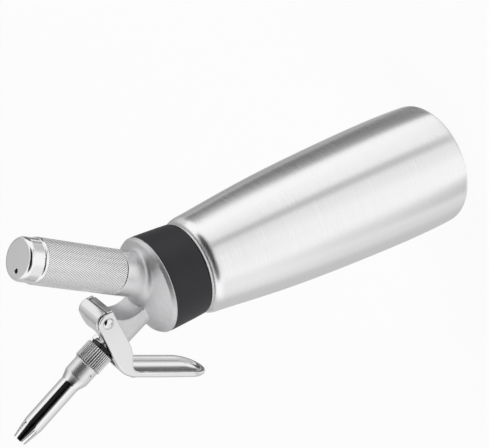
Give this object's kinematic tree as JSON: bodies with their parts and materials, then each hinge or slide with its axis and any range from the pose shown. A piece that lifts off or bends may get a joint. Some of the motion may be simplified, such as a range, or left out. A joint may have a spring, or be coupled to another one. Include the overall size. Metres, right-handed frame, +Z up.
{
  "type": "whipped cream dispenser",
  "caption": "Tapered metal bottle with a cast screw head, a squeeze lever over a slanted valve stem and decorating nozzle, and a knurled gas charger holder.",
  "frame": {"origin": "centre of the flat base that the bottle stands on", "axes": "+Z up along the bottle's axis, +X towards the gas charger holder, -X towards the nozzle and lever, the head's two arms in the XZ plane"},
  "size_m": [0.1365, 0.0798, 0.3121],
  "materials": {
    "bottle_steel": "brushed lengthwise",
    "head_aluminium": "satin cast, milled faces",
    "collar_rubber": "matte",
    "seal_rubber": "matte",
    "bright_steel": "turned",
    "charger_steel": "zinc plated",
    "holder_aluminium": "fine diamond knurl, polished cap",
    "dark_steel": "dark turned",
    "lever_chrome": "polished",
    "tip_steel": "polished"
  },
  "bodies": {
    "bottle": {"bottle": "bottle_steel"},
    "head": {"head_casting": "head_aluminium", "grip_collar": "collar_rubber", "head_gasket": "seal_rubber", "hinge_pin": "bright_steel", "charger_inlet": "bright_steel", "inlet_seal": "seal_rubber", "check_sleeve": "seal_rubber", "gland_nut": "dark_steel", "stem_ring": "seal_rubber", "valve_spring": "bright_steel"},
    "lever": {"lever": "lever_chrome"},
    "stem": {"valve_stem": "bright_steel", "valve_seal": "seal_rubber", "push_collar": "dark_steel", "lock_nut": "dark_steel"},
    "nozzle": {"nozzle_nut": "tip_steel", "nozzle_washer": "seal_rubber", "decorating_tip": "tip_steel"},
    "holder": {"charger_holder": "holder_aluminium"},
    "charger": {"gas_charger": "charger_steel"}
  },
  "joints": [
    {"name": "head_lift", "type": "slide", "parent": "bottle", "child": "head", "axis": [0, 0, 1], "range_m": [0, 0.06]},
    {"name": "lever_squeeze", "type": "hinge", "parent": "head", "child": "lever", "pos_m": [-0.00537, 0, 0.25029], "axis": [0, -1, 0], "range_deg": [0, 4], "stiffness_Nm_per_rad": 2, "springref_deg": -8.59},
    {"name": "stem_press", "type": "slide", "parent": "head", "child": "stem", "axis": [0.5, 0, -0.866], "range_m": [0, 0.0014], "deforming": ["valve_spring"]},
    {"name": "nozzle_off", "type": "slide", "parent": "stem", "child": "nozzle", "axis": [-0.5, 0, 0.866], "range_m": [0, 0.03]},
    {"name": "holder_off", "type": "slide", "parent": "head", "child": "holder", "axis": [0.5, 0, 0.866], "range_m": [0, 0.08]},
    {"name": "charger_out", "type": "slide", "parent": "head", "child": "charger", "axis": [0.5, 0, 0.866], "range_m": [0, 0.04]}
  ],
  "couplings": [
    {"joint": "stem_press", "follows": "lever_squeeze", "m_per_rad": 0.01977},
    {"joint": "charger_out", "follows": "holder_off", "ratio": 0.5}
  ]
}
